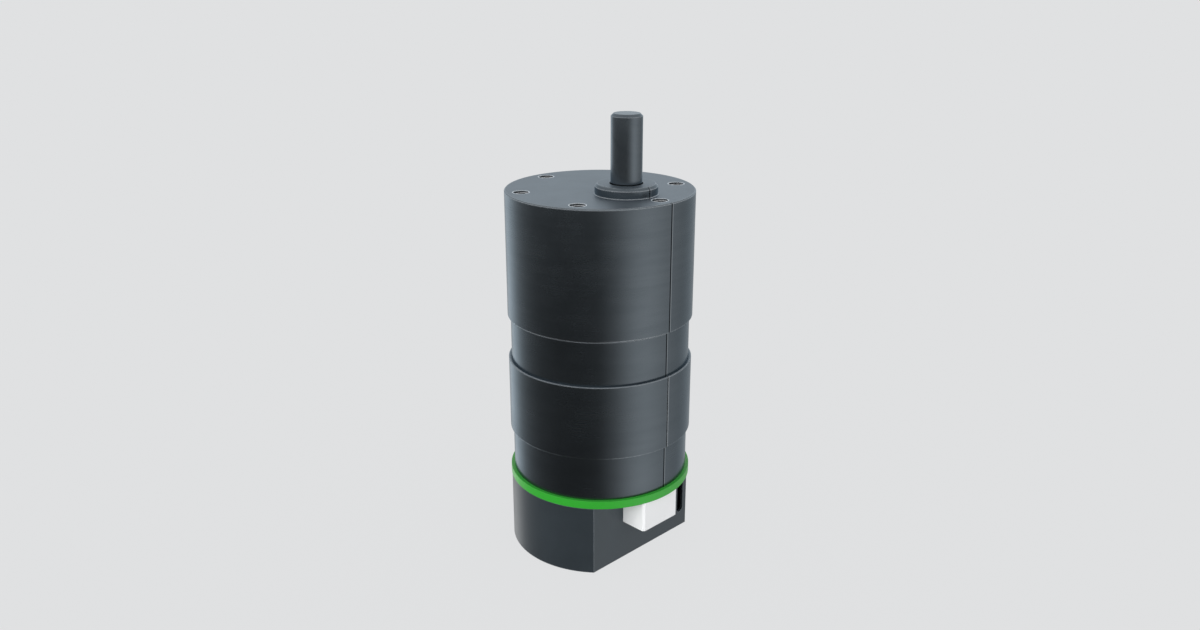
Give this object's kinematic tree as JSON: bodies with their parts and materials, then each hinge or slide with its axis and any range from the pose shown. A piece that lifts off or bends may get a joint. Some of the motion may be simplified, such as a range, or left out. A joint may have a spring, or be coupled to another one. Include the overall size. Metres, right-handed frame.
{
  "type": "wheel motor",
  "caption": "Brushed spur gearmotor for a robot wheel, with an offset flatted output shaft and a rear encoder with a side connector.",
  "frame": {"origin": "centre of the gearbox's front mounting face, on the motor's axis and in the middle of the bolt circle", "axes": "+Z out along the output shaft; +X from the motor's axis towards the offset output shaft, which is also the side of the cover's flat and the connector; +Y completes a right-handed set"},
  "size_m": [0.0372, 0.0372, 0.089],
  "materials": {
    "cast_housing": "dark nickel, satin machined face, fine turned sides",
    "plated_steel": "dark nickel on smooth sheet steel",
    "blanked_steel": "flat blanked sheet with a faint grain",
    "ground_steel": "ground, with a dark finish",
    "gear_steel": "hobbed teeth with oil on them",
    "bronze": "sintered and oily, slightly rough",
    "screw_steel": "zinc plated",
    "ferrite": "ground ceramic, dark grey",
    "lamination": "stacked sheet edges under clear varnish",
    "copper": "enamelled wire",
    "bare_copper": "turned and worn bright in a band",
    "moulded_black": "fine matt mould texture",
    "moulded_dark": "smooth moulded",
    "carbon": "pressed graphite",
    "brass_sheet": "stamped sheet, tinned at the tab",
    "board_green": "green solder mask with a cut edge",
    "connector_white": "moulded white nylon",
    "pin_tin": "tinned",
    "ceramic_parts": "small moulded and ceramic parts",
    "magnet_plastic": "bonded magnet, matt"
  },
  "bodies": {
    "case": {"gearbox_housing": "cast_housing", "gearbox_rear_plate": "blanked_steel", "motor_screws": "screw_steel", "output_front_bush": "bronze", "output_washer": "blanked_steel", "output_rear_bush": "bronze", "lay_pin_1": "ground_steel", "lay_pin_2": "ground_steel", "pin_washers": "blanked_steel", "first_pin_spacer": "bronze", "second_pin_front_spacer": "bronze", "second_pin_rear_spacer": "bronze", "motor_can": "plated_steel", "flux_ring": "plated_steel", "magnet_1": "ferrite", "magnet_2": "ferrite", "magnet_clips": "blanked_steel", "front_motor_bush": "bronze", "rear_motor_bush": "bronze", "end_cap": "moulded_dark", "brush_1": "carbon", "brush_2": "carbon", "brush_holder_1": "brass_sheet", "brush_holder_2": "brass_sheet", "brush_spring_1": "screw_steel", "brush_spring_2": "screw_steel", "encoder_board": "board_green", "connector_housing": "connector_white", "connector_pins": "pin_tin", "hall_sensors": "moulded_dark", "board_components": "ceramic_parts", "encoder_cover": "moulded_black", "cover_screws": "screw_steel"},
    "output": {"output_shaft": "ground_steel", "output_wheel": "gear_steel", "output_spacer": "ground_steel"},
    "first": {"first_gear": "gear_steel"},
    "second": {"second_gear": "gear_steel"},
    "third": {"third_gear": "gear_steel"},
    "rotor": {"rotor_shaft": "ground_steel", "motor_pinion": "gear_steel", "rotor_front_spacer": "moulded_dark", "armature_core": "lamination", "armature_windings": "copper", "rotor_rear_spacer": "moulded_dark", "commutator_hub": "moulded_dark", "commutator_segments": "bare_copper", "encoder_magnet": "magnet_plastic", "magnet_hub": "brass_sheet"}
  },
  "joints": [
    {"name": "output_spin", "type": "hinge", "parent": "case", "child": "output", "pos_m": [0.007, 0, 0], "axis": [0, 0, 1], "continuous": true},
    {"name": "third_spin", "type": "hinge", "parent": "case", "child": "third", "pos_m": [-0.00049, 0.00899, 0], "axis": [0, 0, 1], "continuous": true},
    {"name": "second_spin", "type": "hinge", "parent": "case", "child": "second", "pos_m": [-0.00804, 0.00408, 0], "axis": [0, 0, 1], "continuous": true},
    {"name": "first_spin", "type": "hinge", "parent": "case", "child": "first", "pos_m": [-0.00049, 0.00899, 0], "axis": [0, 0, 1], "continuous": true},
    {"name": "rotor_spin", "type": "hinge", "parent": "case", "child": "rotor", "pos_m": [0, 0, 0], "axis": [0, 0, 1], "continuous": true}
  ],
  "couplings": [
    {"joint": "third_spin", "follows": "output_spin", "ratio": -2.25},
    {"joint": "second_spin", "follows": "output_spin", "ratio": 4.5},
    {"joint": "first_spin", "follows": "output_spin", "ratio": -9},
    {"joint": "rotor_spin", "follows": "output_spin", "ratio": 18}
  ]
}
